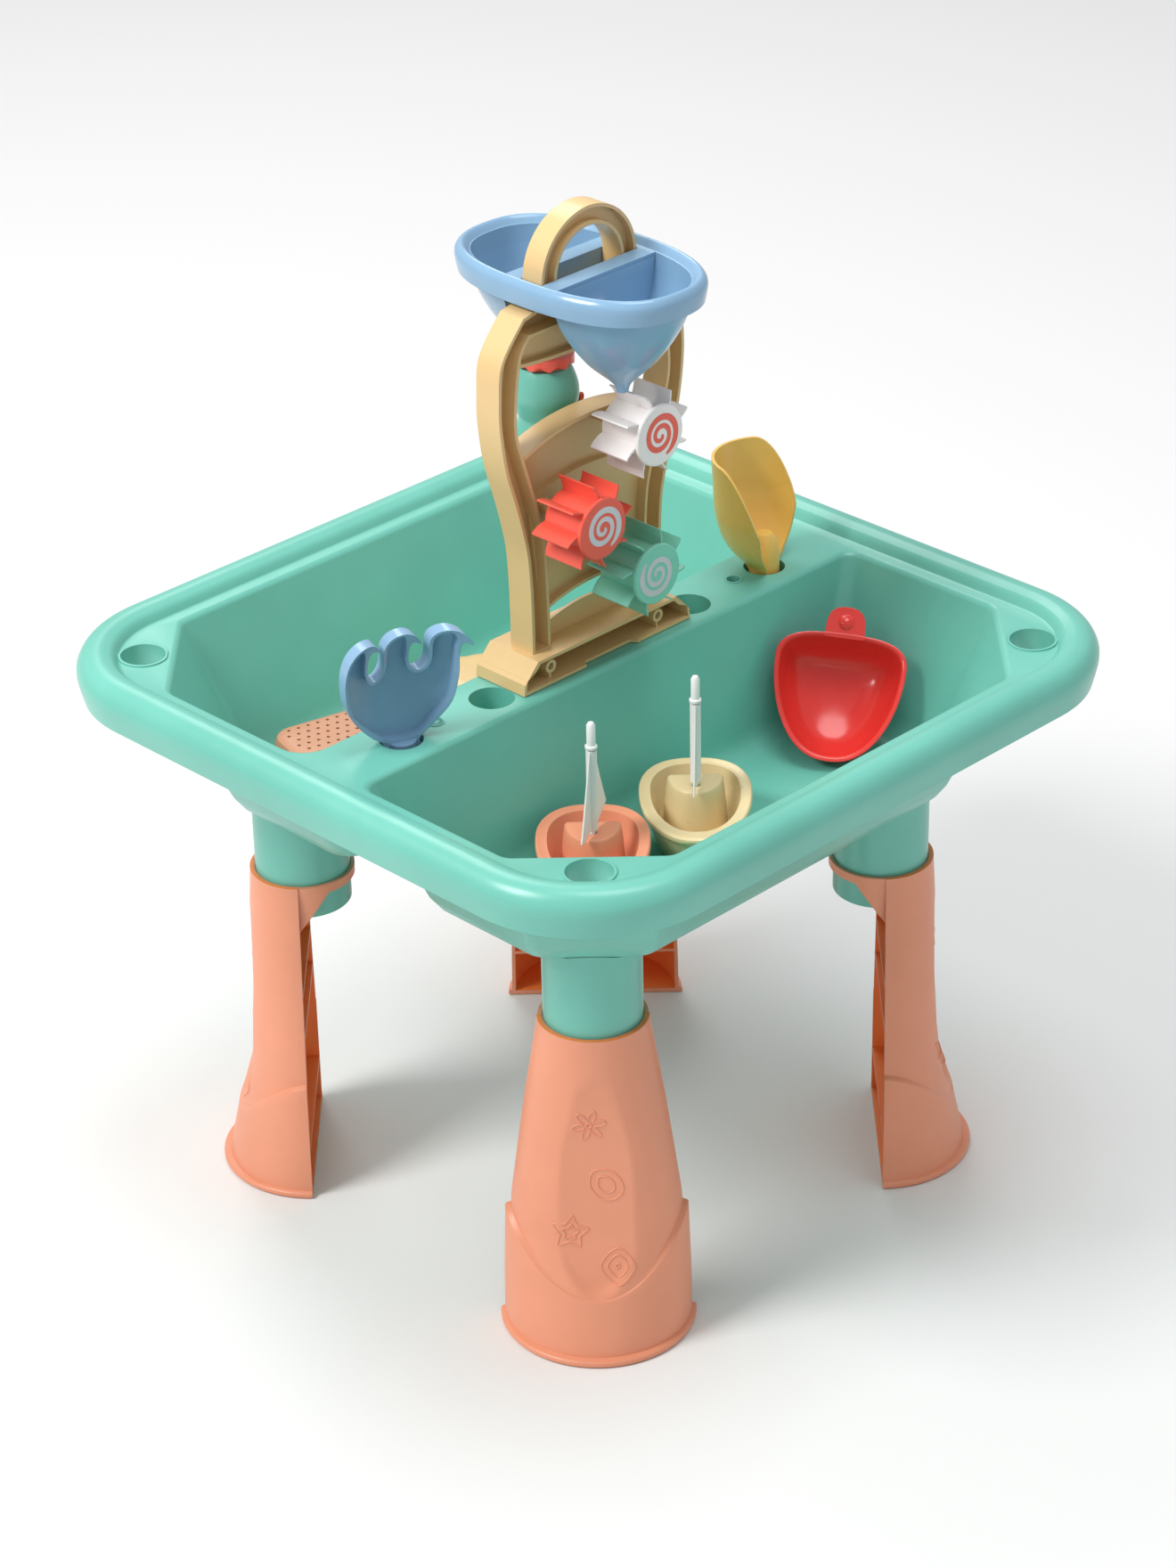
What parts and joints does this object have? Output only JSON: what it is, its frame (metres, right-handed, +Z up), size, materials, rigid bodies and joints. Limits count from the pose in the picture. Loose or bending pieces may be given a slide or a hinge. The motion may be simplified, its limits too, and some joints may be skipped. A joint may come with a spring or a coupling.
{
  "type": "sand and water table",
  "caption": "Square two-basin play table on half-shell legs, with a wheel tower, lift-off funnel tray, rake, scoop, moulds and toy sailing boats.",
  "frame": {"origin": "on the floor, under the centre of the tub", "axes": "+Z up; +X along the divider between the basins; -Y is the side the wheels face"},
  "size_m": [0.48, 0.48, 0.6345],
  "materials": {
    "blue": "moulded plastic, satin to gloss",
    "coral": "moulded plastic, satin to gloss",
    "cream": "moulded plastic, satin to gloss",
    "orange_red": "moulded plastic, satin to gloss",
    "peach": "moulded plastic, satin to gloss",
    "red": "moulded plastic, satin to gloss",
    "steel": "bright zinc screw",
    "sticker_teal": "moulded plastic, satin to gloss",
    "teal": "moulded plastic, satin to gloss",
    "white": "moulded plastic, satin to gloss",
    "yellow": "moulded plastic, satin to gloss"
  },
  "bodies": {
    "table": {"base_screw_left": "steel", "base_screw_right": "steel", "bottle": "teal", "bottle_collar": "orange_red", "divider_screw_left": "steel", "divider_screw_right": "steel", "leg_back": "coral", "leg_front": "coral", "leg_left": "coral", "leg_right": "coral", "leg_sleeve_back": "teal", "leg_sleeve_front": "teal", "leg_sleeve_left": "teal", "leg_sleeve_right": "teal", "spinner_pin": "orange_red", "tower": "cream", "tub": "teal", "wheel_axle_red": "steel", "wheel_axle_teal": "steel", "wheel_axle_white": "steel"},
    "wheel_white_body": {"wheel_white": "white", "wheel_disc_white": "white"},
    "wheel_red_body": {"wheel_red": "orange_red", "wheel_disc_red": "orange_red"},
    "wheel_teal_body": {"wheel_teal": "sticker_teal", "wheel_disc_teal": "sticker_teal"},
    "spinner_body": {"spinner": "orange_red"},
    "tray_body": {"funnel_tray": "blue"},
    "rake_body": {"rake": "blue"},
    "scoop_body": {"scoop": "yellow"},
    "red_mould_body": {"red_mould": "red"},
    "sieve_body": {"sieve": "peach"},
    "cream_mould_body": {"cream_mould": "cream"},
    "boat_coral": {"boat_hull_coral": "coral", "boat_mast_coral": "white"},
    "sail_coral": {"boat_sail_coral": "white"},
    "boat_cream": {"boat_hull_cream": "cream", "boat_mast_cream": "white"},
    "sail_cream": {"boat_sail_cream": "white"}
  },
  "joints": [
    {"name": "wheel_white_spin", "type": "hinge", "parent": "table", "child": "wheel_white_body", "pos_m": [0.013, -0.0325, 0.502], "axis": [0, 1, 0], "continuous": true},
    {"name": "wheel_red_spin", "type": "hinge", "parent": "table", "child": "wheel_red_body", "pos_m": [-0.0345, -0.0325, 0.4596], "axis": [0, 1, 0], "continuous": true},
    {"name": "wheel_teal_spin", "type": "hinge", "parent": "table", "child": "wheel_teal_body", "pos_m": [0.0094, -0.0325, 0.415], "axis": [0, 1, 0], "continuous": true},
    {"name": "spinner_spin", "type": "hinge", "parent": "table", "child": "spinner_body", "pos_m": [0.025, 0.0325, 0.493], "axis": [1, 0, 0], "continuous": true},
    {"name": "tray_lift", "type": "slide", "parent": "table", "child": "tray_body", "axis": [0, 0, 1], "range_m": [0, 0.06]},
    {"name": "rake_lift", "type": "slide", "parent": "table", "child": "rake_body", "axis": [0, 0, 1], "range_m": [0, 0.1]},
    {"name": "scoop_lift", "type": "slide", "parent": "table", "child": "scoop_body", "axis": [0, 0, 1], "range_m": [0, 0.1]},
    {"name": "red_mould_lift", "type": "slide", "parent": "table", "child": "red_mould_body", "axis": [0, 0, 1], "range_m": [0, 0.12]},
    {"name": "sieve_lift", "type": "slide", "parent": "table", "child": "sieve_body", "axis": [0, 0, 1], "range_m": [0, 0.12]},
    {"name": "cream_mould_lift", "type": "slide", "parent": "table", "child": "cream_mould_body", "axis": [0, 0, 1], "range_m": [0, 0.12]},
    {"name": "boat_coral_lift", "type": "slide", "parent": "table", "child": "boat_coral", "axis": [0, 0, 1], "range_m": [0, 0.12]},
    {"name": "sail_coral_turn", "type": "hinge", "parent": "boat_coral", "child": "sail_coral", "pos_m": [-0.08876, -0.09106, 0.32], "axis": [0, 0, 1], "continuous": true},
    {"name": "boat_cream_lift", "type": "slide", "parent": "table", "child": "boat_cream", "axis": [0, 0, 1], "range_m": [0, 0.12]},
    {"name": "sail_cream_turn", "type": "hinge", "parent": "boat_cream", "child": "sail_cream", "pos_m": [-0.00756, -0.09556, 0.32], "axis": [0, 0, 1], "continuous": true}
  ]
}
